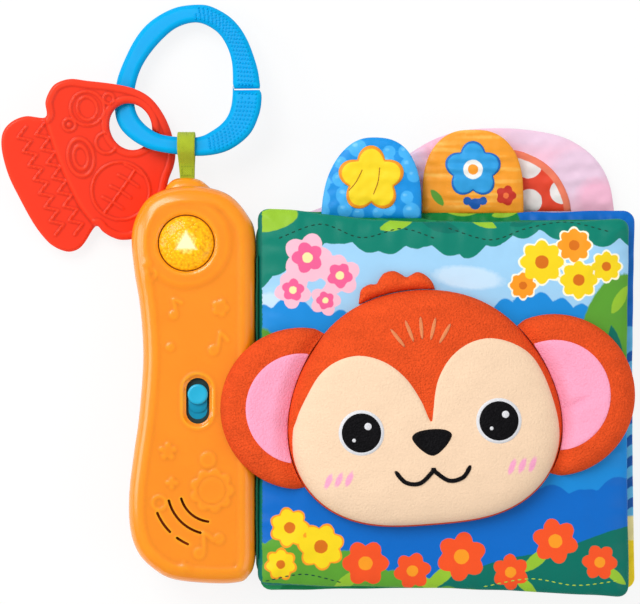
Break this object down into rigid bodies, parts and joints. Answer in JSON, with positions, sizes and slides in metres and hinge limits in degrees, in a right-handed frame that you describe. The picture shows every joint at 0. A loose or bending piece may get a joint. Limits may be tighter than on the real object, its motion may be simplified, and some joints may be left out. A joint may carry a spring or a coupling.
{
  "type": "crinkle cloth book",
  "caption": "Soft crinkle cloth book for a baby: padded leaves with tabs, a plush animal head on the cover, a rigid light and sound handle, a link ring and a teether.",
  "frame": {"origin": "on the handle's flat back face, midway along the handle; the book lies on its back", "axes": "+X from the handle across the leaves, +Y up the page towards the link ring, +Z out of the front cover"},
  "size_m": [0.2868, 0.2655, 0.0484],
  "materials": {
    "handle_plastic": "moulded plastic with a soft gloss",
    "steel": "plated steel",
    "board": "green board laminate",
    "lamp_plastic": "clear lamp body",
    "dark_plastic": "matt moulded plastic",
    "spine_cloth": "woven polyester",
    "ribbon": "woven tape with stitching",
    "amber_plastic": "clear amber plastic, lit from behind",
    "cyan_plastic": "moulded plastic",
    "ring_plastic": "moulded plastic, beaded on one half",
    "teether_rubber": "soft satin rubber with raised rings and zigzags",
    "cover_print": "printed satin cloth",
    "leaf_print": "printed satin cloth",
    "film": "crinkle film",
    "wadding": "polyester wadding",
    "blue_cloth": "printed cloth",
    "yellow_cloth": "applique cloth",
    "orange_cloth": "streaked printed cloth",
    "pink_satin": "thin crinkled satin",
    "dotted_cloth": "red cloth with white dots",
    "rust_plush": "short plush",
    "cream_plush": "short plush",
    "pink_plush": "short plush",
    "embroidery": "satin stitch"
  },
  "bodies": {
    "handle": {"handle_front_shell": "handle_plastic", "handle_rear_shell": "handle_plastic", "battery_door": "handle_plastic", "battery_door_screw": "steel", "shell_screw_1": "steel", "shell_screw_2": "steel", "shell_screw_3": "steel", "shell_screw_4": "steel", "circuit_board": "board", "lamp": "lamp_plastic", "press_switch": "dark_plastic", "slide_switch": "dark_plastic", "speaker": "dark_plastic", "battery_1": "steel", "battery_2": "steel", "upper_battery_contact": "steel", "lower_battery_contact": "steel", "spine_clamp_bar": "dark_plastic", "spine_web": "spine_cloth", "ribbon_loop": "ribbon"},
    "light_button": {"light_button": "amber_plastic"},
    "switch_knob": {"switch_knob": "cyan_plastic"},
    "link_ring": {"link_ring": "ring_plastic"},
    "teether": {"teether": "teether_rubber"},
    "front_cover": {"front_cover_front_cloth": "cover_print", "front_cover_crinkle_film": "film", "front_cover_wadding": "wadding", "front_cover_back_cloth": "leaf_print", "head_plush": "rust_plush", "head_wadding": "wadding", "face_mask": "cream_plush", "left_eye": "embroidery", "right_eye": "embroidery", "nose": "embroidery", "head_tuft": "rust_plush", "left_ear_root": "rust_plush", "right_ear_root": "rust_plush"},
    "left_ear": {"left_ear": "rust_plush", "left_ear_lining": "pink_plush"},
    "right_ear": {"right_ear": "rust_plush", "right_ear_lining": "pink_plush"},
    "leaf_2": {"leaf_2_front_cloth": "leaf_print", "leaf_2_crinkle_film": "film", "leaf_2_wadding": "wadding", "leaf_2_back_cloth": "leaf_print", "blue_tab": "blue_cloth", "blue_tab_patch": "yellow_cloth"},
    "leaf_3": {"leaf_3_front_cloth": "leaf_print", "leaf_3_crinkle_film": "film", "leaf_3_wadding": "wadding", "leaf_3_back_cloth": "leaf_print", "orange_tab": "orange_cloth", "orange_tab_patch": "blue_cloth"},
    "back_leaf": {"back_leaf_front_cloth": "leaf_print", "back_leaf_crinkle_film": "film", "back_leaf_wadding": "wadding", "back_leaf_back_cloth": "leaf_print", "pink_dome": "pink_satin", "dot_patch": "dotted_cloth"}
  },
  "joints": [
    {"name": "light_button_press", "type": "slide", "parent": "handle", "child": "light_button", "axis": [0, 0, -1], "range_m": [0, 0.0015], "stiffness_N_per_m": 300, "springref_m": -0.0004},
    {"name": "sound_switch_slide", "type": "slide", "parent": "handle", "child": "switch_knob", "axis": [0, -1, 0], "range_m": [0, 0.0044]},
    {"name": "link_ring_swing", "type": "hinge", "parent": "handle", "child": "link_ring", "pos_m": [-0.0029, 0.1077, 0.016], "axis": [1, 0, 0], "range_deg": [0, 60]},
    {"name": "teether_swing", "type": "hinge", "parent": "link_ring", "child": "teether", "pos_m": [-0.0261, 0.1194, 0.01106], "axis": [0.8, 0.6, 0], "range_deg": [0, 25]},
    {"name": "front_cover_turn", "type": "hinge", "parent": "handle", "child": "front_cover", "pos_m": [0.03, 0, 0.032], "axis": [0, -1, 0], "range_deg": [0, 100]},
    {"name": "left_ear_flap", "type": "hinge", "parent": "front_cover", "child": "left_ear", "pos_m": [0.043, -0.0106, 0.0411], "axis": [0, -1, 0], "range_deg": [-100, 0]},
    {"name": "right_ear_flap", "type": "hinge", "parent": "front_cover", "child": "right_ear", "pos_m": [0.17, -0.0045, 0.0411], "axis": [0, -1, 0], "range_deg": [0, 50]},
    {"name": "leaf_2_turn", "type": "hinge", "parent": "handle", "child": "leaf_2", "pos_m": [0.03, 0, 0], "axis": [0, -1, 0], "range_deg": [-45, 0]},
    {"name": "leaf_3_turn", "type": "hinge", "parent": "leaf_2", "child": "leaf_3", "pos_m": [0.03, 0, 0], "axis": [0, -1, 0], "range_deg": [-50, 0]},
    {"name": "back_leaf_turn", "type": "hinge", "parent": "leaf_3", "child": "back_leaf", "pos_m": [0.03, 0, 0], "axis": [0, -1, 0], "range_deg": [-60, 0]}
  ],
  "couplings": [
    {"joint": "left_ear_flap", "follows": "front_cover_turn", "ratio": -1}
  ]
}
